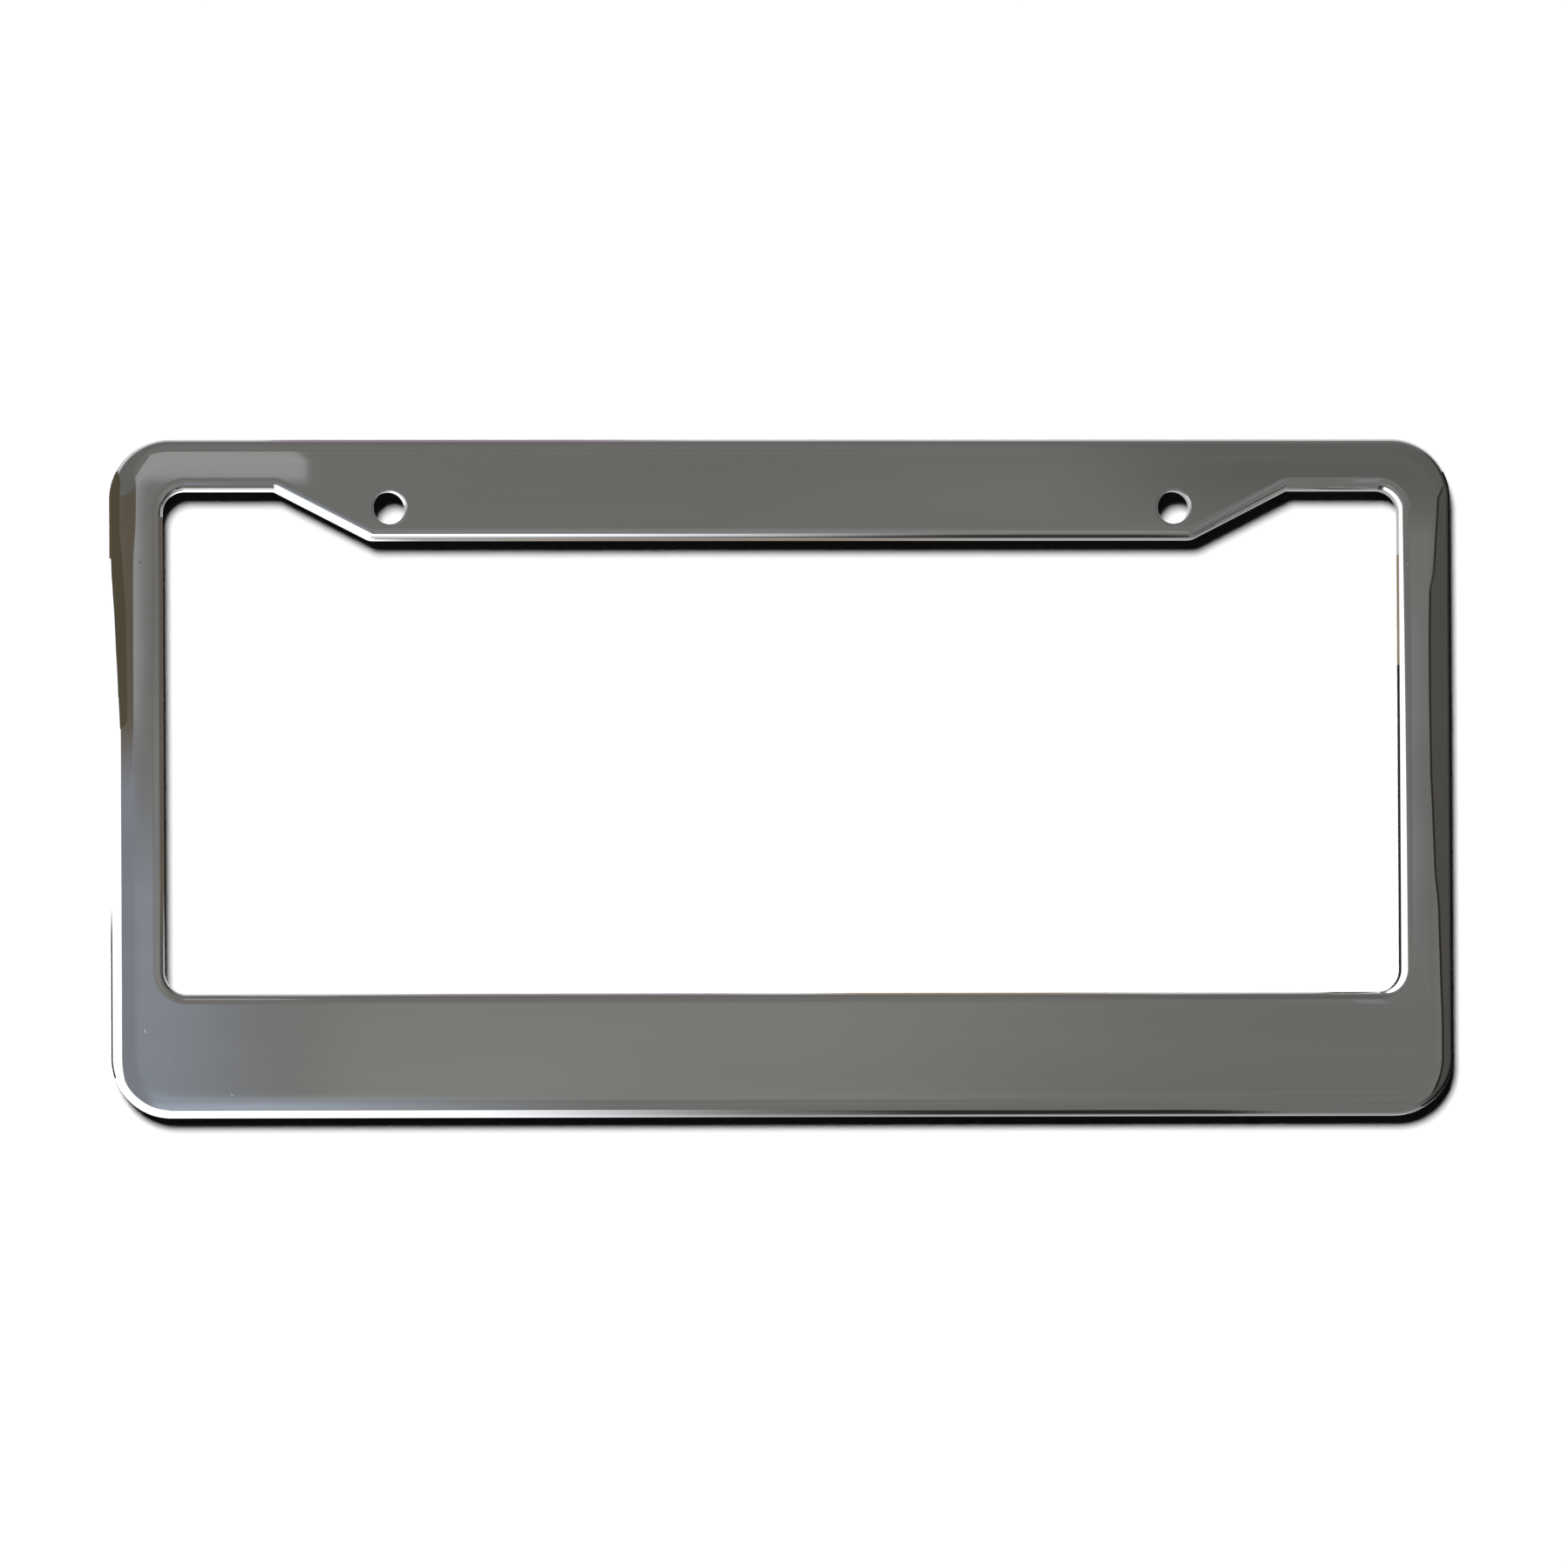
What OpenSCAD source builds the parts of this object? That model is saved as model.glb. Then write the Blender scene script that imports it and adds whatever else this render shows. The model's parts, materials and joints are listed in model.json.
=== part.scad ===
// Number plate frame, cast in one piece: a hollow-backed ring with rolled edges
// that lies on a 12 x 6 in plate and is held by the plate's two upper screws.
// It is drawn lying on its back, x across, y up the plate and z to the front,
// and stood upright at the end, with its origin between the screw holes.

/* [Overall] */
// Width over the outer edges
overall_w = 304; // [280:0.2:330]
// Height over the outer edges
overall_h = 153.2; // [130:0.2:180]
// Depth from the plate to the front face
depth = 6; // [5:0.1:9]
// Thickness of the cast wall
wall = 1.4; // [1:0.1:1.6]
// Draft of the walls, in degrees, which lets the die open
draft = 2; // [1:0.25:4]
// Radius of the outer corners
corner_r = 13.5; // [9:0.5:20]

/* [Window] */
// Width of the side rails
side_w = 12; // [10:0.2:18]
// Height of the bottom bar
bottom_h = 28; // [15:0.2:40]
// Height of the top bar outside its apron
top_h = 11.8; // [10:0.1:14]
// Radius of the window's corners
window_r = 5; // [3:0.5:10]

/* [Screw holes] */
// Distance between the two screw holes
hole_pitch = 177.8; // [150:0.2:200]
// Distance from the top edge down to the holes' centres
hole_drop = 15.6; // [15:0.1:20]
// Diameter of the holes
hole_d = 7.4; // [6:0.1:8]
// Radius round the front edge of the holes
hole_round = 0.5; // [0.2:0.1:0.5]
// Wall of the collar behind each hole
collar_wall = 2; // [1.5:0.1:2.4]

/* [Apron, the deep part of the top bar that holds the screw holes] */
// Distance from the holes' centres down to the apron's lower edge
apron_drop = 7.3; // [7:0.1:10]
// Distance from the holes' centres out to the apron's lower corners
apron_out = 4.3; // [2:0.1:8]
// Length of the apron's sloping ends, measured across
slope_run = 21.6; // [16:0.2:30]

/* [Outer edge] */
// Width of the rolled part of the outer edge
rim_w = 5.8; // [5:0.1:6.5]
// Radius of the rim's gentle crown
rim_crown_r = 14; // [12:0.5:20]
// Radius of the rim's edge
rim_edge_r = 2; // [1.8:0.1:2.4]

/* [Window edge] */
// Width of the rolled part of the window's edge
lip_w = 3; // [2.8:0.1:3.2]
// Radius of the lip's gentle crown
lip_crown_r = 8; // [6:0.5:12]
// Radius of the lip's edge
lip_edge_r = 1.7; // [1.7:0.1:1.9]

/* [Hidden] */
$fn = 96;

// An edge is its width, the radius of its crown and the radius of its edge
RIM = [rim_w, rim_crown_r, rim_edge_r];
LIP = [lip_w, lip_crown_r, lip_edge_r];

// How far the flats along a section's arcs may lie inside them
sagitta = 0.008;

half_w = overall_w / 2;
top_y = hole_drop;
bottom_y = top_y - overall_h;
window_x = half_w - side_w;
window_bottom = bottom_y + bottom_h;
window_top = top_y - top_h;

// A loop is its lowest and highest corners, the radius of its bends and the
// side that its metal lies on, 1 inside and -1 outside
OUTER = [[-half_w, bottom_y], [half_w, top_y], corner_r, 1];
WINDOW = [[-window_x, window_bottom], [window_x, window_top], window_r, -1];

// The apron reaches up into the middle of the top bar's flat
apron_x = hole_pitch / 2 + apron_out;
apron_bottom = -apron_drop;
apron_top = window_top + lip_w + (top_h - rim_w - lip_w) / 2;
slope = atan2(window_top - apron_bottom, slope_run);
apron_top_x = apron_x + (apron_top - apron_bottom) / tan(slope);

// How far cutters run past what they cut
past = 1;

// Tilt of the skin where an edge's crown turns into its edge radius, so that
// the wall below comes down to x = 0 at the plate
function turnover(edge) =
    asin(cos(draft) * (edge[0] - edge[2] * cos(draft)
        - tan(draft) * (depth - edge[2] + edge[2] * sin(draft)))
        / (edge[1] - edge[2]) + sin(draft)) - draft;

// Points along an arc of a section, where the skin tilts from one angle to
// another, without its last point
function arc(centre, r, tilt_from, tilt_to) =
    let (
        flat = 2 * acos(1 - min(1, sagitta / r)),
        steps = ceil((tilt_from - tilt_to) / flat)
    )
    [
        for (k = [0:steps - 1])
            let (tilt = tilt_from + (tilt_to - tilt_from) * k / steps)
                centre + r * [-sin(tilt), cos(tilt)]
    ];

// The skin of an edge from the foot of its wall up to the flat face, inset by
// the given thickness
function skin(edge, inset, foot_z) =
    let (
        tilt = turnover(edge),
        crown_centre = [edge[0], depth - edge[1]],
        edge_centre = crown_centre + (edge[1] - edge[2]) * [-sin(tilt), cos(tilt)]
    )
    concat(
        [[inset / cos(draft) + foot_z * tan(draft), foot_z]],
        arc(edge_centre, edge[2] - inset, 90 - draft, tilt),
        arc(crown_centre, edge[1] - inset, tilt, 0),
        [[edge[0], depth - inset]]
    );

// Section of everything under the skin of an edge, and under a stretch of the
// flat face beyond it
module bank_section(edge, inset, foot_z, flat) {
    polygon(concat(
        skin(edge, inset, foot_z),
        flat > 0 ? [[edge[0] + flat, depth - inset]] : [],
        [[edge[0] + flat, foot_z]]
    ));
}

// Runs a section along x, its own x pointing along y
module run(length) {
    rotate([90, 0, 90])
        linear_extrude(length)
            children();
}

// Sweeps a section round a loop, its own x pointing into the metal
module sweep(loop) {
    middle = (loop[0] + loop[1]) / 2;
    half = (loop[1] - loop[0]) / 2;
    r = loop[2];
    inside = loop[3] > 0 ? 1 : 0;
    for (i = [0:3]) {
        half_run = half[i % 2] - r;
        out = half[1 - i % 2];
        translate([middle[0], middle[1], 0])
            rotate(90 * i) {
                translate([-half_run, -out, 0])
                    run(2 * half_run)
                        mirror([1 - inside, 0])
                            children();
                translate([half_run, r - out, 0])
                    rotate(-90)
                        rotate_extrude(angle = 90)
                            translate([r, 0])
                                mirror([inside, 0])
                                    children();
            }
    }
}

// Area inside a loop that is followed at a distance into its metal
module area(loop, inset) {
    middle = (loop[0] + loop[1]) / 2;
    half = (loop[1] - loop[0]) / 2 - loop[3] * inset * [1, 1];
    r = loop[2] - loop[3] * inset;
    translate(middle) {
        square([2 * half[0], 2 * (half[1] - r)], center = true);
        for (side = [-1, 1])
            translate([0, side * (half[1] - r / 2)])
                square([2 * (half[0] - r), r], center = true);
        for (i = [0, 1], j = [0, 1])
            mirror([i, 0])
                mirror([0, j])
                    translate([half[0] - r, half[1] - r])
                        intersection() {
                            circle(r);
                            square(r);
                        }
    }
}

// The apron: its lower edge cut off by its two sloping ends
module apron(inset, foot_z) {
    intersection() {
        translate([-apron_top_x, apron_bottom, 0])
            run(2 * apron_top_x)
                bank_section(LIP, inset, foot_z, apron_top - apron_bottom - lip_w);
        common_to_both_ends()
            translate([apron_x, apron_bottom, 0])
                rotate(slope)
                    translate([-2 * apron_top_x, 0, 0])
                        run(4 * apron_top_x)
                            bank_section(LIP, inset, foot_z, 2 * apron_top_x);
    }
}

// What a shape and its mirror image have in common
module common_to_both_ends() {
    intersection() {
        children();
        mirror([1, 0, 0])
            children();
    }
}

// Everything under the frame's skin, inset by the given thickness
module filled(inset, foot_z) {
    sweep(OUTER)
        bank_section(RIM, inset, foot_z, 0);
    sweep(WINDOW)
        bank_section(LIP, inset, foot_z, 0);
    translate([0, 0, foot_z])
        linear_extrude(depth - inset - foot_z)
            difference() {
                area(OUTER, rim_w);
                area(WINDOW, lip_w);
            }
    apron(inset, foot_z);
}

// Collar behind a screw hole, which keeps the screw from bending the face
module collar() {
    r = hole_d / 2 + collar_wall;
    h = depth - wall / 2;
    cylinder(h = h, r1 = r, r2 = r + h * tan(draft));
}

// A screw hole, with its front edge rounded
module screw_hole() {
    r = hole_d / 2;
    translate([0, 0, -past])
        cylinder(h = depth + 2 * past, r = r);
    rotate_extrude()
        difference() {
            translate([r - past, depth - hole_round])
                square([past + hole_round, hole_round + past]);
            translate([r + hole_round, depth - hole_round])
                circle(hole_round);
        }
}

module at_screw_holes() {
    for (side = [-1, 1])
        translate([side * hole_pitch / 2, 0, 0])
            children();
}

module frame() {
    color([0.55, 0.55, 0.54])
        rotate([90, 0, 0])
            difference() {
                union() {
                    difference() {
                        filled(0, 0);
                        filled(wall, -past);
                    }
                    at_screw_holes()
                        collar();
                }
                at_screw_holes()
                    screw_hole();
            }
}

frame();
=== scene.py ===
"""The number plate frame as a finished chrome casting, hung in a pale studio."""
import json
import math

import bmesh
import bpy
from mathutils import Matrix, Quaternion, Vector


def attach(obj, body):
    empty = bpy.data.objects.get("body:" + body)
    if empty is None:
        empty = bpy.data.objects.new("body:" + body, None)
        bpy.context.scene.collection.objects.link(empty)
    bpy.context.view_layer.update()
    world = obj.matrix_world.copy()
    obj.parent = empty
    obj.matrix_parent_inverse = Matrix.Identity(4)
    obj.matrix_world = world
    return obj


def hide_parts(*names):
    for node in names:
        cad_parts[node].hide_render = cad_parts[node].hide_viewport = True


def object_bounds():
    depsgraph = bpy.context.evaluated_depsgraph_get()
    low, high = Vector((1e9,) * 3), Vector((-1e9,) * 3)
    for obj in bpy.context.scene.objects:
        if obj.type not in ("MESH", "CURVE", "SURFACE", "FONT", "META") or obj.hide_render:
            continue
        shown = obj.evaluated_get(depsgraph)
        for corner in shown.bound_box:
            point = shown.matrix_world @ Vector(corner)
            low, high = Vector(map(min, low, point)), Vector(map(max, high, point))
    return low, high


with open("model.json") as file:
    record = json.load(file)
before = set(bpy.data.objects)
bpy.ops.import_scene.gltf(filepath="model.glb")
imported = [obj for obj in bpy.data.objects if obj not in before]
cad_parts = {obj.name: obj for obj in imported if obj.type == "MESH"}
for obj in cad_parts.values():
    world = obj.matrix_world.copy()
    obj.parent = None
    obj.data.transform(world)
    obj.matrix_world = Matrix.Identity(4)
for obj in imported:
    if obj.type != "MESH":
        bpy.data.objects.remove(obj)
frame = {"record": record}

CAD_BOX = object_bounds()
MM = 0.001
FRONT = Vector((0, -1, 0))

# Sizes of the casting in millimetres, with its outside and its holes taken from the frame
LOW = CAD_BOX[0] / MM
HIGH = CAD_BOX[1] / MM
MOUNTS = {mount["name"]: mount for mount in frame["record"]["mounts"]}
HOLES = MOUNTS["screw_holes"]["dims"]
HOLE_X = HOLES["spacing_x_mm"] / 2
HOLE_R = HOLES["hole_r_mm"]
DEPTH = HIGH.y - LOW.y
WALL = 1.4
DRAFT = 2
CORNER_R = 13.5
SIDE_W = 12
BOTTOM_H = 28
TOP_H = 11.8
WINDOW_R = 5
APRON_DROP = 7.3
APRON_OUT = 4.3
SLOPE_RUN = 21.6
HOLE_ROUND = 0.5
COLLAR_WALL = 2
COLLAR_FILLET = 0.6
FOOT_ROUND = 0.2

# Places that follow from these: the window's sides, and the apron's lower corners
WINDOW_X = HIGH.x - SIDE_W
WINDOW_LOW = LOW.z + BOTTOM_H
WINDOW_TOP = HIGH.z - TOP_H
TIP_X = HOLE_X + APRON_OUT

# Radii of the apron's lower corners, and of its upper ones, which are nearly sharp
TIP_R = 3.6
CREASE_R = 0.4

# An edge is its width, the radius of its crown and the radius of its edge
RIM = (5.8, 14, 2)
LIP = (3, 8, 1.7)

# The mesh follows arcs of a section and bends of a path by these angles in degrees. Its
# straight runs are cut into steps of about this length, and a hole has this many steps.
SECTION_STEP = 5
PATH_STEP = 3
RUN_STEP = 8
HOLE_STEPS = 96

# Nicks in the plating as (x, z, slope in degrees, length), and their width
NICKS = (
    (-145.3, -12.3, -45, 1.1),
    (141.8, -13.1, 0, 0.8),
    (-144.9, -118.2, -60, 1.6),
    (-137.6, -125.5, -15, 1.9),
    (-142.1, -129.8, 10, 1.5),
    (-132.2, -130.6, -25, 1.0),
    (-125.3, -132.6, -30, 2.2),
)
NICK_W = 0.35

# Heights of the bumps: the mirror's waviness, its nicks, and the grain of the bare casting
WAVE_HEIGHT = 0.06
NICK_DEPTH = 0.08
GRAIN_HEIGHT = 0.2

# Darkest and lightest colour of the polished plating and of the plating behind
POLISHED = ((0.755, 0.765, 0.775), (0.81, 0.815, 0.82))
SATIN = ((0.58, 0.585, 0.59), (0.70, 0.70, 0.705))

# The camera stands a little to the left and below, far off
CAMERA_AZIMUTH = -5
CAMERA_ELEVATION = -2.5
CAMERA_DISTANCE = 8000
CAMERA_ROLL = -0.3
PIXELS = 1800
PIXELS_PER_MM = 5.08
SENSOR = 36
AIM = Vector((0.6, 0.0, -62.3))

# The floor, and the backdrop behind the plate. A lamp is its strength, the angle that it
# fills and the way towards it.
FLOOR_Z = -550
FLOOR_HALF = 40000
FLOOR_LAMP = (3.2, 30, (0, -0.2, 1))
BACKDROP_Y = 1
BACKDROP_HALF = 400
SHADOW_LAMP = (4.4, 18, (-0.29, -1, 0.55))


def sin(angle):
    return math.sin(math.radians(angle))


def cos(angle):
    return math.cos(math.radians(angle))


def tan(angle):
    return math.tan(math.radians(angle))


# Sections. A section is a list of (distance into the metal, height over the plate,
# tilt of the surface from facing front), where a tilt of 180 faces the plate.

def arc(centre, radius, tilt_from, tilt_to):
    """Points round an arc, which is hollow where the radius is negative."""
    steps = max(1, math.ceil(abs(tilt_to - tilt_from) / SECTION_STEP))
    tilts = [tilt_from + (tilt_to - tilt_from) * k / steps for k in range(steps + 1)]
    return [(centre[0] - radius * sin(t), centre[1] + radius * cos(t), t) for t in tilts]


def turnover(edge):
    """Tilt where an edge's crown turns into its edge radius."""
    width, crown_r, edge_r = edge
    reach = width - edge_r * cos(DRAFT) - tan(DRAFT) * (DEPTH - edge_r + edge_r * sin(DRAFT))
    return math.degrees(math.asin(cos(DRAFT) * reach / (crown_r - edge_r) + sin(DRAFT))) - DRAFT


def edge_section(edge):
    """An edge from the flat face over its crown, down its wall, and back up inside."""
    width, crown_r, edge_r = edge
    tilt = turnover(edge)
    crown = (width, DEPTH - crown_r)
    turn = (
        width - (crown_r - edge_r) * sin(tilt),
        DEPTH - crown_r + (crown_r - edge_r) * cos(tilt),
    )
    outer_h = FOOT_ROUND * (1 + sin(DRAFT))
    outer_foot = (outer_h * tan(DRAFT) + FOOT_ROUND * cos(DRAFT), FOOT_ROUND)
    inner_h = FOOT_ROUND * (1 - sin(DRAFT))
    inner_foot = (WALL / cos(DRAFT) + inner_h * tan(DRAFT) - FOOT_ROUND * cos(DRAFT), FOOT_ROUND)
    return (
        arc(crown, crown_r, 0, tilt)
        + arc(turn, edge_r, tilt, 90 - DRAFT)[1:]
        + arc(outer_foot, FOOT_ROUND, 90 - DRAFT, 180)
        + arc(inner_foot, FOOT_ROUND, 180, 270 - DRAFT)
        + arc(turn, WALL - edge_r, 270 - DRAFT, 180 + tilt)
        + arc(crown, WALL - crown_r, 180 + tilt, 180)[1:]
    )


def hole_section():
    """A screw hole from the flat face down its bore and back up outside its collar."""
    inner_h = DEPTH - WALL - COLLAR_FILLET
    collar = COLLAR_WALL + inner_h * tan(DRAFT)
    return (
        arc((HOLE_ROUND, DEPTH - HOLE_ROUND), HOLE_ROUND, 0, 90)
        + arc((FOOT_ROUND, FOOT_ROUND), FOOT_ROUND, 90, 180)
        + arc((COLLAR_WALL - FOOT_ROUND, FOOT_ROUND), FOOT_ROUND, 180, 270 - DRAFT)
        + arc((collar + COLLAR_FILLET, inner_h), -COLLAR_FILLET, 270 - DRAFT, 180)
    )


# Paths. A path is a list of (place, direction into the metal), both in the frame's
# own plane, x across and z up.

def turned(direction):
    """A direction turned a quarter to the left."""
    return Vector((-direction.y, direction.x))


def rounded_path(corners, radii, metal_side):
    """A closed path round corners, with its straight runs cut into short steps."""
    count = len(corners)
    stretches = []
    for k in range(count):
        before, corner, after = corners[k - 1], corners[k], corners[(k + 1) % count]
        come, go = (corner - before).normalized(), (after - corner).normalized()
        turn = math.degrees(math.atan2(come.cross(go), come.dot(go)))
        side = 1 if turn > 0 else -1
        cut = radii[k] * tan(abs(turn) / 2)
        centre = corner - come * cut + turned(come) * side * radii[k]
        steps = math.ceil(abs(turn) / PATH_STEP)
        bend = []
        for i in range(steps + 1):
            left = turned(come)
            left.rotate(Matrix.Rotation(math.radians(turn * i / steps), 2))
            bend.append((centre - left * side * radii[k], left * metal_side))
        stretches.append(bend)
    path = []
    for k in range(count):
        (start, metal), (end, _) = stretches[k - 1][-1], stretches[k][0]
        steps = math.ceil((end - start).length / RUN_STEP)
        path += [(start.lerp(end, i / steps), metal) for i in range(1, steps)]
        path += stretches[k]
    return path


def outer_path():
    low, high = Vector((LOW.x, LOW.z)), Vector((HIGH.x, HIGH.z))
    corners = [low, Vector((high.x, low.y)), high, Vector((low.x, high.y))]
    return rounded_path(corners, [CORNER_R] * 4, 1)


def window_path():
    right = [
        (WINDOW_X, WINDOW_LOW),
        (WINDOW_X, WINDOW_TOP),
        (TIP_X + SLOPE_RUN, WINDOW_TOP),
        (TIP_X, -APRON_DROP),
    ]
    left = [(-x, z) for x, z in reversed(right)]
    radii = [WINDOW_R, WINDOW_R, CREASE_R, TIP_R]
    return rounded_path([Vector(p) for p in right + left], radii + radii[::-1], -1)


def hole_path(side):
    centre = Vector((side * HOLE_X, 0))
    path = []
    for k in range(HOLE_STEPS):
        out = Vector((cos(360 * k / HOLE_STEPS), sin(360 * k / HOLE_STEPS)))
        path.append((centre + out * HOLE_R, out))
    return path


def sweep(bm, path, section, normals):
    """Adds a section swept round a path. Returns its first and its last ring of edges."""
    rings = []
    for distance, height, tilt in section:
        ring = []
        for place, metal in path:
            spot = place + metal * distance
            inward = Vector((metal.x, 0, metal.y))
            ring.append(bm.verts.new(Vector((spot.x, HIGH.y - height, spot.y)) * MM))
            normals.append(FRONT * cos(tilt) - inward * sin(tilt))
        rings.append(ring)
    for j in range(len(rings) - 1):
        polished = section[j + 1][2] <= 180 and section[j][2] < 180
        for i in range(len(path)):
            face = bm.faces.new((rings[j][i - 1], rings[j][i], rings[j + 1][i], rings[j + 1][i - 1]))
            face.material_index = 0 if polished else 1
    ends = rings[0], rings[-1]
    return [[bm.edges.get((ring[i - 1], ring[i])) for i in range(len(path))] for ring in ends]


def casting():
    """The whole frame as one closed mesh, with the true normals of its arcs."""
    bm = bmesh.new()
    normals = []
    front_edges, back_edges = [], []
    for path, section in (
        (outer_path(), edge_section(RIM)),
        (window_path(), edge_section(LIP)),
        (hole_path(-1), hole_section()),
        (hole_path(1), hole_section()),
    ):
        first, last = sweep(bm, path, section, normals)
        front_edges += first
        back_edges += last
    for edges, slot in ((front_edges, 0), (back_edges, 1)):
        filled = bmesh.ops.triangle_fill(bm, edges=edges, use_beauty=True)
        for face in filled["geom"]:
            if isinstance(face, bmesh.types.BMFace):
                face.material_index = slot
    bmesh.ops.recalc_face_normals(bm, faces=bm.faces)
    for face in bm.faces:
        face.smooth = True
    mesh = bpy.data.meshes.new("chrome_frame")
    bm.to_mesh(mesh)
    bm.free()
    mesh.normals_split_custom_set_from_vertices(normals)
    piece = bpy.data.objects.new("chrome_frame", mesh)
    bpy.context.scene.collection.objects.link(piece)
    return piece


# Materials

class Nodes:
    """A short way to write a node tree."""

    def __init__(self, owner):
        owner.use_nodes = True
        self.tree = owner.node_tree
        self.tree.nodes.clear()

    def add(self, kind, inputs=None, **settings):
        node = self.tree.nodes.new(kind)
        for name, value in settings.items():
            setattr(node, name, value)
        for name, value in (inputs or {}).items():
            if isinstance(value, bpy.types.NodeSocket):
                self.tree.links.new(value, node.inputs[name])
            else:
                node.inputs[name].default_value = value
        return node

    def math(self, operation, a, b):
        return self.add("ShaderNodeMath", {0: a, 1: b}, operation=operation).outputs[0]

    def blend(self, share, a, b):
        """Goes from colour a to colour b. A colour is a socket or red, green and blue."""
        a, b = (c if isinstance(c, bpy.types.NodeSocket) else (*c, 1.0) for c in (a, b))
        return self.add("ShaderNodeMix", {0: share, 6: a, 7: b}, data_type="RGBA").outputs[2]

    def step(self, value, start, end):
        """Rises smoothly from 0 to 1 as value goes from start to end."""
        node = self.add(
            "ShaderNodeMapRange",
            {"Value": value, "From Min": start, "From Max": end, "To Min": 0.0, "To Max": 1.0},
            interpolation_type="SMOOTHSTEP",
        )
        return node.outputs["Result"]

    def noise(self, place, scale, detail=2.0, stretch=(1, 1, 1)):
        """Noise with a scale in waves to the metre."""
        moved = self.add("ShaderNodeMapping", {"Vector": place, "Scale": stretch})
        node = self.add(
            "ShaderNodeTexNoise",
            {"Vector": moved.outputs[0], "Scale": scale, "Detail": detail},
        )
        return node.outputs["Fac"]


def nicks(n, place):
    """Small nicks in the plating, each a shallow oval."""
    depth = 0.0
    for x, z, angle, length in NICKS:
        moved = n.add(
            "ShaderNodeMapping",
            {
                "Vector": place,
                "Location": (x * MM, 0, z * MM),
                "Rotation": (0, math.radians(-angle), 0),
                "Scale": (length / 2 * MM, 1000, NICK_W / 2 * MM),
            },
            vector_type="TEXTURE",
        )
        far = n.add("ShaderNodeVectorMath", {0: moved.outputs[0]}, operation="LENGTH").outputs["Value"]
        depth = n.math("ADD", depth, n.step(far, 1.0, 0.2))
    return depth


def chrome_front():
    """Mirror plating with faint polishing streaks, a soft waviness and a few nicks."""
    material = bpy.data.materials.new("chrome_mirror")
    n = Nodes(material)
    place = n.add("ShaderNodeTexCoord").outputs["Object"]
    streaks = n.noise(place, 60.0, 4.0, (0.12, 1.0, 1.0))
    haze = n.noise(place, 14.0, 3.0)
    tone = n.blend(n.step(streaks, 0.3, 0.7), *POLISHED)
    cut = nicks(n, place)
    rough = n.math("ADD", 0.02, n.math("MULTIPLY", haze, 0.04))
    rough = n.math("ADD", rough, n.math("MULTIPLY", cut, 0.4))
    waves = n.noise(place, 55.0, 1.0, (0.4, 1.0, 1.0))
    wavy = n.add("ShaderNodeBump", {"Height": waves, "Strength": 1.0, "Distance": WAVE_HEIGHT * MM})
    nicked = n.add(
        "ShaderNodeBump",
        {
            "Height": cut,
            "Strength": 1.0,
            "Distance": -NICK_DEPTH * MM,
            "Normal": wavy.outputs["Normal"],
        },
    )
    shader = n.add(
        "ShaderNodeBsdfPrincipled",
        {"Base Color": tone, "Metallic": 1.0, "Roughness": rough, "Normal": nicked.outputs["Normal"]},
    )
    n.add("ShaderNodeOutputMaterial", {"Surface": shader.outputs[0]})
    return material


def chrome_back():
    """The same plating over the unpolished casting, so it is duller and slightly grainy."""
    material = bpy.data.materials.new("chrome_satin")
    n = Nodes(material)
    place = n.add("ShaderNodeTexCoord").outputs["Object"]
    cloud = n.noise(place, 45.0, 4.0)
    grain = n.noise(place, 2200.0, 2.0)
    tone = n.blend(cloud, *SATIN)
    bump = n.add(
        "ShaderNodeBump",
        {"Height": grain, "Strength": 0.25, "Distance": GRAIN_HEIGHT * MM},
    )
    shader = n.add(
        "ShaderNodeBsdfPrincipled",
        {
            "Base Color": tone,
            "Metallic": 1.0,
            "Roughness": n.math("ADD", 0.26, n.math("MULTIPLY", cloud, 0.14)),
            "Normal": bump.outputs["Normal"],
        },
    )
    n.add("ShaderNodeOutputMaterial", {"Surface": shader.outputs[0]})
    return material


# Studio. All its places are in millimetres, and each piece is made in metres.

# Colours of the things that the chrome mirrors
FRONT_GREY = (0.188, 0.183, 0.173)
TOP_GREY = (0.167, 0.163, 0.155)
RIGHT_DARK = (0.05, 0.05, 0.045)
BACK_LOW = (0.30, 0.30, 0.30)
BACK_HIGH = (0.75, 0.76, 0.78)
SURROUND = (0.95, 0.95, 0.95)
WHITE = (1.35, 1.37, 1.42)
CORNER_GREY = (0.155, 0.153, 0.143)
OLIVE = (0.096, 0.082, 0.05)
BROWN = (0.135, 0.112, 0.083)
DULL_BROWN = (0.135, 0.119, 0.092)
RIGHT_OLIVE = (0.088, 0.083, 0.07)
NEAR_BLACK = (0.03, 0.027, 0.022)
BLACK = (0.006, 0.006, 0.006)
BLUISH = (0.24, 0.252, 0.28)
PALE_BLUE = (0.38, 0.425, 0.49)
PALE_GREY = (0.27, 0.265, 0.255)
TAN = (0.34, 0.27, 0.19)
ORANGE = (0.37, 0.28, 0.17)
PURPLE = (0.43, 0.34, 0.405)

# The ways that a card can face when it glows to one side alone
LEFT = Vector((-1, 0, 0))
RIGHT = Vector((1, 0, 0))
UP = Vector((0, 0, 1))
DOWN = Vector((0, 0, -1))

# Planes of the cards that stand close to the frame, each just clear of what mirrors it
LEFT_FLAG_X = LOW.x - 4
LEFT_LIGHT_X = LOW.x - 6
RIGHT_FLAG_X = HIGH.x + 2
WINDOW_FLAG_X = 0.2 - WINDOW_X
LOW_LIGHT_Z = LOW.z - 0.4
APRON_LIGHT_Z = -APRON_DROP - 0.3
SLOPE_GAP = 0.3
LINE_GAP = 2
BEHIND_Y = 31

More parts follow.
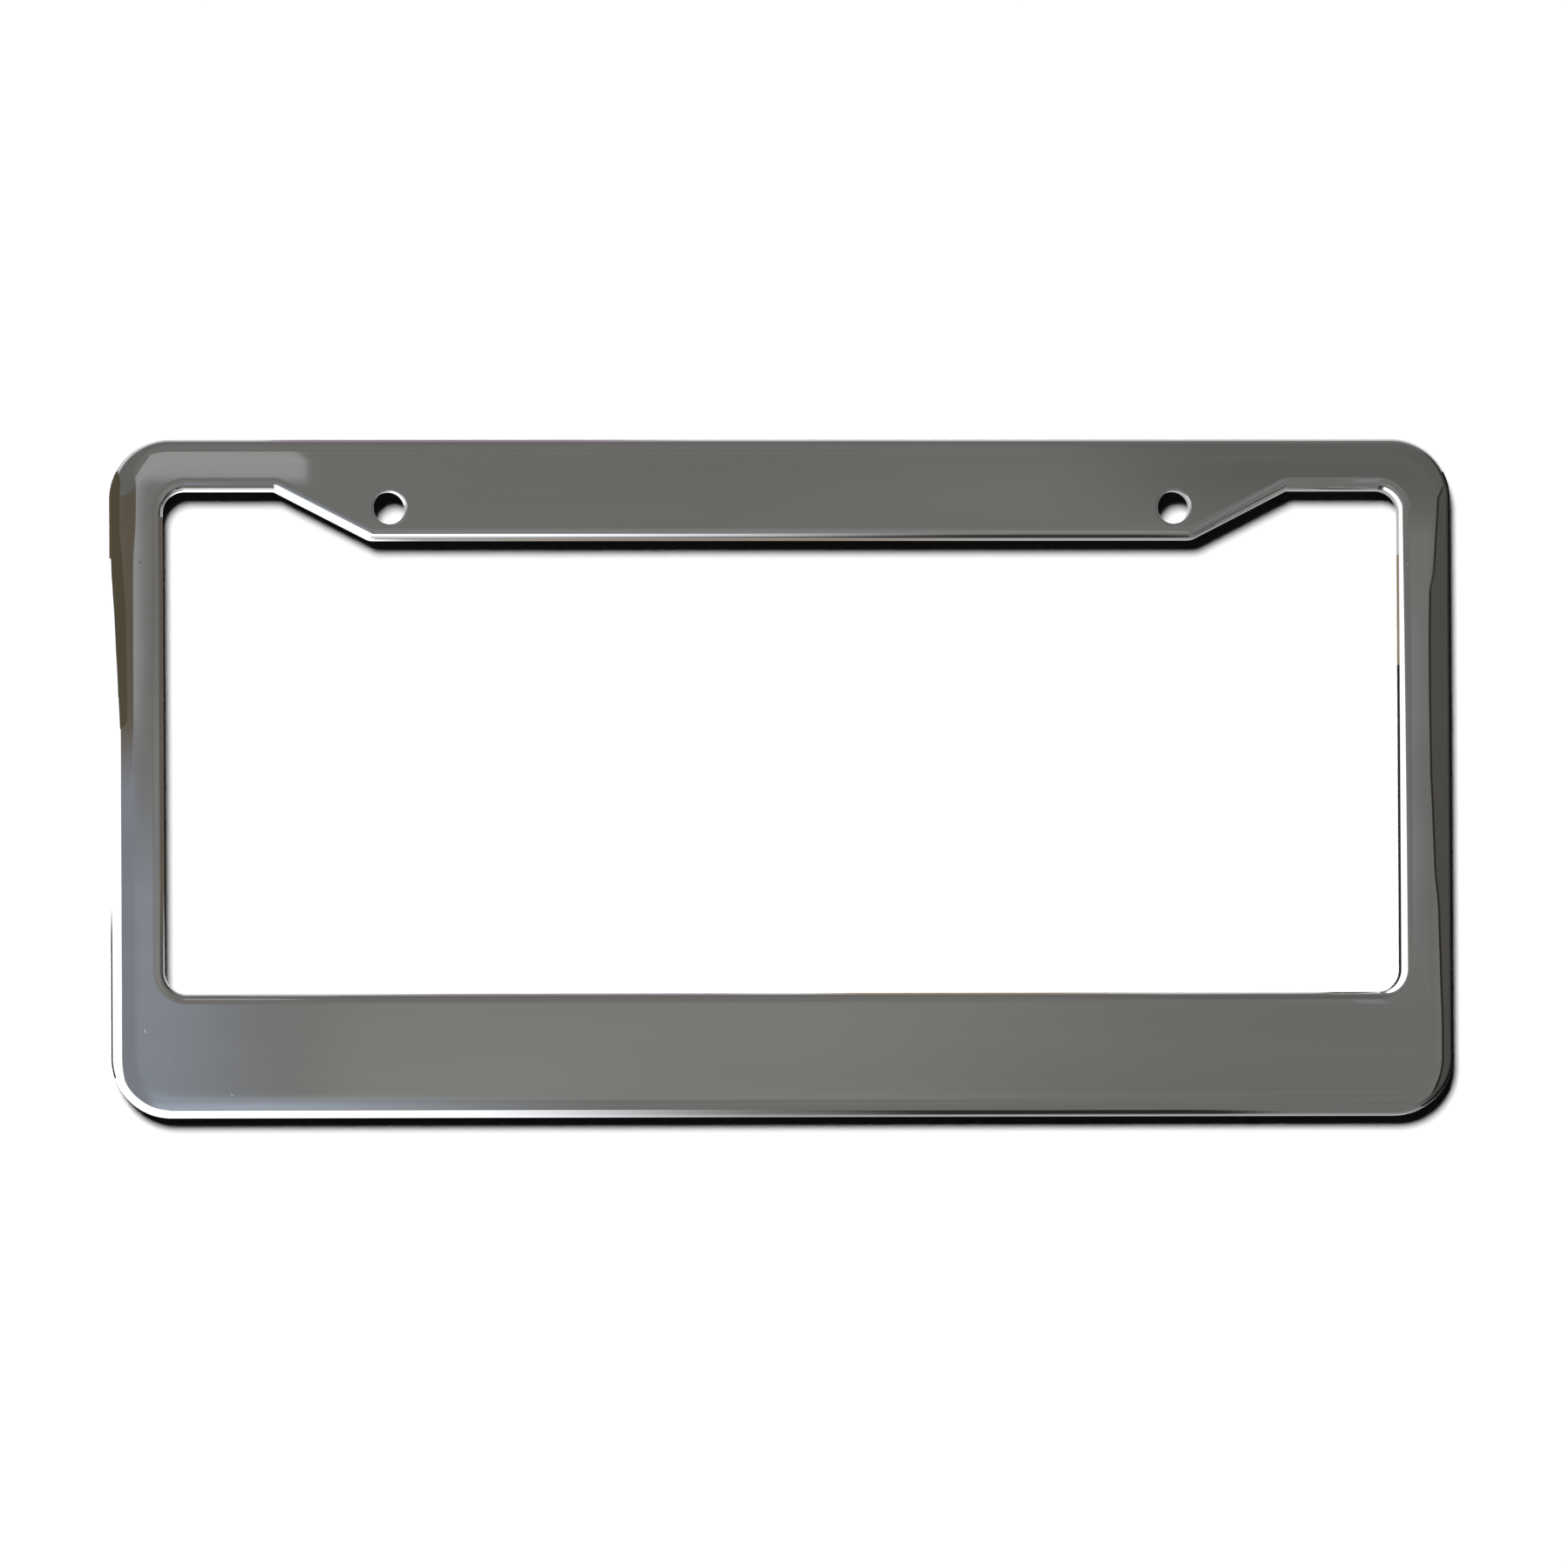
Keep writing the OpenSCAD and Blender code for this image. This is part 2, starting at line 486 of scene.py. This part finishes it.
# Cards square to the axes: name, lowest and highest corner, colour, the lengths over which
# it fades at both ends of its first and of its second side, and the way it faces
SQUARE_CARDS = (
    # The wall in front
    ("front_wall", (-1200, -800, -900), (1200, -800, 900), FRONT_GREY, (600, 600, 300, 300), None),
    # Behind on the left a light with a dark end, and before it a bluish haze
    ("back_light", (-260, 300, -600), (-55, 300, 5), WHITE, (0, 20, 0, 0), None),
    ("back_line", (-260, 299, -140), (-170, 299, -75), NEAR_BLACK, (0, 0, 0, 10), None),
    ("haze_left", (-166.5, -30, -150), (-142.5, -30, -45), BLUISH, (0, 9, 0, 20), None),
    ("haze_low", (-162, -31, -152.5), (-30, -31, -131), PALE_BLUE, (0, 100, 0, 18), None),
    # Dark things on the right, beside the frame and below it
    ("right_flag", (RIGHT_FLAG_X, -4.4, -150), (RIGHT_FLAG_X, 8, 10), BLACK, (0, 0, 0, 0), None),
    ("low_dark", (40, -400, -590), (165, 250, -590), NEAR_BLACK, (40, 20, 0, 0), None),
    # Small things in the window and over the top edge, which one edge alone mirrors
    (
        "window_flag", (WINDOW_FLAG_X, -6.9, -104), (WINDOW_FLAG_X, 20, -2),
        DULL_BROWN, (0, 0, 20, 0), LEFT,
    ),
    (
        "apron_light", (-110, -8.4, APRON_LIGHT_Z), (50, -5.7, APRON_LIGHT_Z),
        WHITE, (0, 130, 0, 0), UP,
    ),
    ("apron_glow", (0, -500, -100), (130, -165, -100), PALE_GREY, (30, 0, 0, 0), UP),
    (
        "orange_line", (0, -4.5, WINDOW_LOW + LINE_GAP), (95, 6, WINDOW_LOW + LINE_GAP),
        ORANGE, (20, 40, 0, 0), DOWN,
    ),
    (
        "purple_line", (-100, -4.5, WINDOW_LOW + LINE_GAP), (0, 6, WINDOW_LOW + LINE_GAP),
        PURPLE, (30, 20, 0, 0), DOWN,
    ),
    (
        "purple_top", (-120, -4.5, HIGH.z + LINE_GAP), (-10, 6, HIGH.z + LINE_GAP),
        PURPLE, (10, 40, 0, 0), DOWN,
    ),
    # Behind the plate, what the walls of the casting mirror
    ("back_tan_low", (-90, BEHIND_Y, -22), (60, BEHIND_Y, -9), TAN, (60, 50, 0, 0), None),
    ("back_dark", (128.5, BEHIND_Y, -112), (139, BEHIND_Y, -34), NEAR_BLACK, (0, 0, 0, 0), None),
    ("back_tan", (128.5, BEHIND_Y, -34), (139, BEHIND_Y, -9), TAN, (0, 0, 0, 0), None),
)

# Lighter and darker areas of the flat face: name, the places on the face that mirror the
# card's left, right, lower and upper end, colour, fades, and the card's distance in front
PATCHES = (
    ("patch_corner", (-200, -106.8), (4.2, 150), (0.365, 0.36, 0.352), (0, 1, 4, 10), 310),
    ("patch_left", (-200, -143.6), (-62, 10), (0.33, 0.33, 0.332), (0, 3, 30, 4), 315),
    ("patch_bluish", (-230, -105), (-230, -50), (0.275, 0.297, 0.33), (0, 45, 0, 45), 320),
    ("patch_low", (-130, 90), (-230, -15), (0.24, 0.235, 0.223), (40, 90, 0, 60), 330),
    ("patch_right_top", (50, 500), (-12, 500), (0.132, 0.129, 0.121), (60, 0, 20, 0), 340),
    ("patch_rail", (130, 146), (-110, -10), (0.24, 0.24, 0.25), (0, 5, 30, 30), 325),
)

# Outlines of things that show in the rims of the side rails, as heights on the rail and
# how far in from its outer edge the outline runs there
LEFT_SHADE = (
    (-1, 5.7), (-4, 5.6), (-8, 5.3), (-12, 5.0),
    (-30, 4.95), (-48, 4.9), (-60, 4.5), (-76, 3.9),
)
RIGHT_SHADE = (
    (6, 3.0), (-14, 4.2), (-18, 5.2), (-30, 5.4), (-43, 5.4),
    (-61, 5.2), (-82, 4.4), (-92, 3.6), (-118, 2.9),
)

# Where the nearer thing on the left ends in front, and where the light below it begins
LEFT_SPLIT = ((8, 2.0), (-6, 2.0), (-24, 3.3), (-48, 3.6))
LEFT_WHITE = ((-50, 1.9), (-43, 1.6), (-33, 1.1), (-23, 0.7), (-17, 0.35), (-12, 0.15))

# Their ends behind, back and up. The light reaches a little under the nearer thing, and
# below that it begins further in.
LEFT_FLAG_ENDS = ((100, -4), (100, 30))
LEFT_LIGHT_ENDS = ((30, 0), (30, -140))
LIGHT_OVERLAP = 3
LIGHT_STEP = 0.15

# The same for the top left corner, as directions from the corner's centre, where 180 is
# left and 90 is up. Its first points belong to the left rail's shade too.
CORNER_SHADE = (
    (180, 5.7), (160, 5.2), (150, 3.9), (140, 2.7),
    (122, 2.1), (106, 1.5), (92, 1.1),
)
SHARED_POINTS = 4

# How far in front of the plate these things stand, and how far out they reach
SHADE_DISTANCE = 300
CORNER_DISTANCE = 290
SHADE_REACH = 450
FAR_REACH = 900

# The right one's two layers: name, how much nearer the outer edge its outline runs, its
# distance and its colour. From the outline's lower end both go down and a little to the
# right, and then round these places, away from the frame.
RIGHT_LAYERS = (
    ("right_line", 0, 302, NEAR_BLACK),
    ("right_shade", 0.5, 300, RIGHT_OLIVE),
)
RIGHT_LOW_END = -500
RIGHT_LOW_OUT = 30
RIGHT_ENDS = ((FAR_REACH, RIGHT_LOW_END), (FAR_REACH, 150), (450, 100))

# Outline of the light below the bottom edge, across and back, and the axis and the places
# between which it fades. In front it ends close before the face, and below the corner a
# little further out.
LOW_LIGHT = (
    (5, -8.2),
    (LOW.x + CORNER_R, -8.2),
    (-144.3, -9.5),
    (-152.4, -15.8),
    (LEFT_LIGHT_X, -22),
    (LEFT_LIGHT_X, 30),
    (5, 30),
)
LOW_LIGHT_FADE = (0, 5, -95)

# How far the light below the left slope reaches in front of the plate and behind it
SLOPE_LIGHT_Y = (-9, 3)

# Outline of the light in the window, back and up, and how far right it stands
WINDOW_LIGHT = ((50, 3), (-18, 3), (-28, -20), (-45, -50), (-85, -104), (50, -104))
WINDOW_LIGHT_X = 115


def camera_at():
    """The camera's place, and the direction to it from what it looks at."""
    back = Vector((
        sin(CAMERA_AZIMUTH) * cos(CAMERA_ELEVATION),
        -cos(CAMERA_AZIMUTH) * cos(CAMERA_ELEVATION),
        sin(CAMERA_ELEVATION),
    ))
    return AIM + back * CAMERA_DISTANCE, back


def make_camera():
    data = bpy.data.cameras.new("camera")
    data.sensor_fit = "HORIZONTAL"
    data.sensor_width = SENSOR
    data.lens = SENSOR * CAMERA_DISTANCE * PIXELS_PER_MM / PIXELS
    camera = bpy.data.objects.new("camera", data)
    bpy.context.scene.collection.objects.link(camera)
    place, back = camera_at()
    camera.location = place * MM
    camera.rotation_mode = "QUATERNION"
    roll = Quaternion(Vector((0, 0, 1)), math.radians(CAMERA_ROLL))
    camera.rotation_quaternion = back.to_track_quat("Z", "Y") @ roll
    bpy.context.scene.camera = camera


def tilt_at(edge, inset):
    """Tilt of an edge's skin at a distance into the metal."""
    width, crown_r, edge_r = edge
    tilt = turnover(edge)
    if inset > width - crown_r * sin(tilt):
        return math.degrees(math.asin(max(0, width - inset) / crown_r))
    middle = width - (crown_r - edge_r) * sin(tilt)
    return math.degrees(math.asin((middle - inset) / edge_r))


def beside(z, inset, x):
    """The point in the upright plane at x, left of the frame, that the rim of the left rail
    mirrors to the camera at a height and a distance into the metal."""
    tilt = tilt_at(RIM, inset)
    width, crown_r, edge_r = RIM
    height = DEPTH - crown_r + crown_r * cos(tilt)
    if tilt > turnover(RIM):
        height = DEPTH - crown_r + (crown_r - edge_r) * cos(turnover(RIM)) + edge_r * cos(tilt)
    spot = Vector((LOW.x + inset, HIGH.y - height, z))
    ray = (spot - camera_at()[0]).reflect(Vector((-sin(tilt), -cos(tilt), 0)))
    return spot + ray * ((x - spot.x) / ray.x)


def shown_in(x, z, distance, tilt=0.0, turn=0.0):
    """The point at that distance in front of the plate that the skin at (x, z) mirrors to
    the camera. The skin is tilted to the right, or from there turned towards the top."""
    spot = Vector((x, LOW.y, z))
    normal = Vector((sin(tilt) * cos(turn), -cos(tilt), sin(tilt) * sin(turn)))
    ray = (spot - camera_at()[0]).reflect(normal)
    return spot + ray * ((-distance - spot.y) / ray.y)


def flat_piece(name, points, material):
    mesh = bpy.data.meshes.new(name)
    mesh.from_pydata([tuple(Vector(p) * MM) for p in points], [], [tuple(range(len(points)))])
    piece = bpy.data.objects.new(name, mesh)
    bpy.context.scene.collection.objects.link(piece)
    piece.data.materials.append(material)
    return piece


def glow(name, colour, borders=(), one_sided=False):
    """A glow that fades out at its borders, each given as (axis, place outside, place inside)."""
    material = bpy.data.materials.new(name)
    n = Nodes(material)
    place = n.add("ShaderNodeTexCoord").outputs["Object"]
    axes = n.add("ShaderNodeSeparateXYZ", {0: place}).outputs
    share = 1.0
    for axis, outside, inside in borders:
        share = n.math("MULTIPLY", share, n.step(axes[axis], outside * MM, inside * MM))
    if one_sided:
        behind = n.add("ShaderNodeNewGeometry").outputs["Backfacing"]
        share = n.math("MULTIPLY", share, n.math("SUBTRACT", 1.0, behind))
    uneven = n.step(n.noise(place, 9.0, 2.0, (0.5, 1.0, 1.0)), 0.25, 0.75)
    tone = n.blend(uneven, [0.93 * c for c in colour], [1.07 * c for c in colour])
    lit = n.add("ShaderNodeEmission", {"Color": tone, "Strength": 1.0})
    clear = n.add("ShaderNodeBsdfTransparent")
    both = n.add("ShaderNodeMixShader", {0: share, 1: clear.outputs[0], 2: lit.outputs[0]})
    n.add("ShaderNodeOutputMaterial", {"Surface": both.outputs[0]})
    return material


def shape_card(name, points, colour, borders=(), facing=None):
    """A glowing card of any outline that only the chrome sees, on both of its sides or on
    the one that faces a direction."""
    if facing is not None:
        normal = (Vector(points[1]) - Vector(points[0])).cross(Vector(points[2]) - Vector(points[1]))
        if normal.dot(facing) < 0:
            points = points[::-1]
    piece = flat_piece(name, points, glow(name, colour, borders, facing is not None))
    piece.visible_camera = False
    piece.visible_diffuse = False
    piece.visible_transmission = False
    piece.visible_shadow = False


def card(name, low, high, colour, fades, facing=None):
    """A card between two corners, square to the axes. It fades out over those lengths at
    both ends of its first side and both ends of its second side."""
    first, second = [k for k in range(3) if low[k] != high[k]]
    points = []
    for a, b in ((low, low), (high, low), (high, high), (low, high)):
        point = list(low)
        point[first], point[second] = a[first], b[second]
        points.append(point)
    borders = []
    for k, axis in enumerate((first, second)):
        start, end = fades[2 * k:2 * k + 2]
        if start:
            borders.append((axis, low[axis], low[axis] + start))
        if end:
            borders.append((axis, high[axis], high[axis] - end))
    shape_card(name, points, colour, borders, facing)


def patch(name, x_range, z_range, colour, fades, distance):
    """A card that the flat face mirrors at those places on the frame."""
    low = shown_in(x_range[0], z_range[0], distance)
    high = shown_in(x_range[1], z_range[1], distance)
    card(name, (low.x, -distance, low.z), (high.x, -distance, high.z), colour, fades)


def rail_outline(outline, side, rail_x, distance):
    """The points in front of the frame that show along an outline in the rim of a side rail."""
    return [
        shown_in(rail_x - side * inset, z, distance, side * tilt_at(RIM, inset))
        for z, inset in outline
    ]


def corner_outline(outline, distance):
    """The points in front of the frame that show along an outline in the top left corner."""
    points = []
    for turn, inset in outline:
        x = LOW.x + CORNER_R + (CORNER_R - inset) * cos(turn)
        z = HIGH.z - CORNER_R + (CORNER_R - inset) * sin(turn)
        points.append(shown_in(x, z, distance, tilt_at(RIM, inset), turn))
    return points


def make_world():
    """What the chrome mirrors past the cards, and a pale surround for the camera."""
    world = bpy.data.worlds.new("studio")
    bpy.context.scene.world = world
    n = Nodes(world)
    way = n.add("ShaderNodeSeparateXYZ", {0: n.add("ShaderNodeTexCoord").outputs["Generated"]})
    x, y, z = way.outputs

    # Grey in front and above, dark on the right, white on the left and pale behind
    colour = n.blend(n.step(z, 0.3, 0.95), FRONT_GREY, TOP_GREY)
    colour = n.blend(n.step(x, 0.45, 0.8), colour, RIGHT_DARK)
    left = n.math("MULTIPLY", n.step(x, -0.6, -0.75), n.step(z, 0.35, 0.1))
    colour = n.blend(left, colour, WHITE)
    back = n.blend(n.step(z, -0.7, 0.7), BACK_LOW, BACK_HIGH)
    colour = n.blend(n.step(y, 0.1, 0.45), colour, back)

    seen = n.add("ShaderNodeLightPath").outputs["Is Camera Ray"]
    colour = n.blend(seen, colour, SURROUND)
    sky = n.add("ShaderNodeBackground", {0: colour})
    n.add("ShaderNodeOutputWorld", {"Surface": sky.outputs[0]})
    world.cycles_visibility.diffuse = False


def make_left_cards():
    """On the left a brown thing in front with a grey one over it, and beside the frame a
    nearer olive one, with a light below it."""
    corner = corner_outline(CORNER_SHADE[:SHARED_POINTS], SHADE_DISTANCE)
    border = corner[::-1] + rail_outline(LEFT_SHADE, -1, LOW.x, SHADE_DISTANCE)
    far = [Vector((-SHADE_REACH, -SHADE_DISTANCE, border[k].z)) for k in (-1, 0)]
    shape_card("left_shade", border + far, BROWN)

    border = corner_outline(CORNER_SHADE[1:], CORNER_DISTANCE)
    far = [
        Vector((border[-1].x, -CORNER_DISTANCE, FAR_REACH)),
        Vector((-FAR_REACH, -CORNER_DISTANCE, FAR_REACH)),
        Vector((-FAR_REACH, -CORNER_DISTANCE, border[0].z)),
    ]
    shape_card("corner_shade", border + far, CORNER_GREY)

    border = [beside(z, inset, LEFT_FLAG_X) for z, inset in LEFT_WHITE]
    behind = [Vector((LEFT_FLAG_X, y, z)) for y, z in LEFT_FLAG_ENDS]
    front = [beside(z, inset, LEFT_FLAG_X) for z, inset in LEFT_SPLIT]
    shape_card("left_flag", border + behind + front, OLIVE)

    border = [beside(z, inset, LEFT_LIGHT_X) + UP * LIGHT_OVERLAP for z, inset in LEFT_WHITE]
    behind = [Vector((LEFT_LIGHT_X, y, z)) for y, z in LEFT_LIGHT_ENDS]
    top, inset = LEFT_WHITE[0]
    low = LEFT_LIGHT_ENDS[1][1]
    front = [beside(z, inset + LIGHT_STEP, LEFT_LIGHT_X) for z in (low, top)]
    shape_card("left_light", border + behind + front, WHITE)


def make_right_cards():
    """On the right an olive thing in front, with a dark border."""
    for name, nearer, distance, colour in RIGHT_LAYERS:
        outline = [(z, inset - nearer) for z, inset in RIGHT_SHADE]
        border = rail_outline(outline, 1, HIGH.x, distance)
        ends = ((border[-1].x + RIGHT_LOW_OUT, RIGHT_LOW_END),) + RIGHT_ENDS
        shape_card(name, border + [Vector((x, -distance, z)) for x, z in ends], colour)


def make_edge_lights():
    """Lights near the bottom edge, the window's right edge and the left slope, which
    mirror them, where the flat face hardly sees them."""
    points = [(x, y, LOW_LIGHT_Z) for x, y in LOW_LIGHT]
    shape_card("low_light", points, WHITE, [LOW_LIGHT_FADE])
    points = [(WINDOW_LIGHT_X, y, z) for y, z in WINDOW_LIGHT]
    shape_card("window_light", points, WHITE, facing=RIGHT)

    high = Vector((-TIP_X - SLOPE_RUN, WINDOW_TOP))
    tip = Vector((-TIP_X, -APRON_DROP))
    off = turned(high - tip).normalized() * SLOPE_GAP
    front, behind = SLOPE_LIGHT_Y
    corners = ((high, front), (tip, front), (tip, behind), (high, behind))
    points = [(spot.x + off.x, y, spot.y + off.y) for spot, y in corners]
    shape_card("slope_light", points, WHITE, facing=Vector((-off.x, 0, -off.y)))


def make_cards():
    """The studio that shows in the chrome."""
    for row in SQUARE_CARDS:
        card(*row)
    for row in PATCHES:
        patch(*row)
    make_left_cards()
    make_right_cards()
    make_edge_lights()


def make_sun(name, lamp_values, receiver):
    """A sun that lights one piece alone."""
    energy, angle, towards = lamp_values
    lamp = bpy.data.lights.new(name, "SUN")
    lamp.energy = energy
    lamp.angle = math.radians(angle)
    sun = bpy.data.objects.new(name, lamp)
    bpy.context.scene.collection.objects.link(sun)
    sun.rotation_mode = "QUATERNION"
    sun.rotation_quaternion = Vector(towards).to_track_quat("Z", "Y")
    lit = bpy.data.collections.new("lit_by_" + name)
    lit.objects.link(receiver)
    sun.light_linking.receiver_collection = lit


def make_backdrop():
    """A white backdrop close behind the plate, which takes the frame's shadow and is clear
    from behind."""
    material = bpy.data.materials.new("backdrop")
    n = Nodes(material)
    white = n.add("ShaderNodeBsdfDiffuse", {"Color": (0.9, 0.9, 0.9, 1.0)})
    clear = n.add("ShaderNodeBsdfTransparent")
    behind = n.add("ShaderNodeNewGeometry").outputs["Backfacing"]
    both = n.add("ShaderNodeMixShader", {0: behind, 1: white.outputs[0], 2: clear.outputs[0]})
    n.add("ShaderNodeOutputMaterial", {"Surface": both.outputs[0]})
    corners = ((-1, -1), (1, -1), (1, 1), (-1, 1))
    points = [(BACKDROP_HALF * i, BACKDROP_Y, AIM.z + BACKDROP_HALF * k) for i, k in corners]
    piece = flat_piece("backdrop", points, material)
    piece.visible_glossy = False
    piece.visible_diffuse = False
    make_sun("shadow_lamp", SHADOW_LAMP, piece)


def make_floor():
    """A plain pale floor below the frame."""
    material = bpy.data.materials.new("floor")
    n = Nodes(material)
    place = n.add("ShaderNodeTexCoord").outputs["Object"]
    tone = n.blend(n.noise(place, 3.0), (0.82, 0.82, 0.81), (0.86, 0.86, 0.85))
    shader = n.add("ShaderNodeBsdfDiffuse", {"Color": tone})
    n.add("ShaderNodeOutputMaterial", {"Surface": shader.outputs[0]})
    corners = ((-1, -1), (1, -1), (1, 1), (-1, 1))
    points = [(FLOOR_HALF * i, FLOOR_HALF * k, FLOOR_Z) for i, k in corners]
    piece = flat_piece("floor", points, material)
    piece.visible_glossy = False
    piece.visible_diffuse = False
    make_sun("floor_lamp", FLOOR_LAMP, piece)


scene = bpy.context.scene
scene.view_settings.view_transform = "Standard"
make_camera()
make_world()
make_cards()
make_backdrop()
make_floor()

# The chrome throws no light back on the backdrop, so its shadow there stays black
chrome = casting()
chrome.visible_diffuse = False
chrome.data.materials.append(chrome_front())
chrome.data.materials.append(chrome_back())
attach(chrome, "root")
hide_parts("frame")
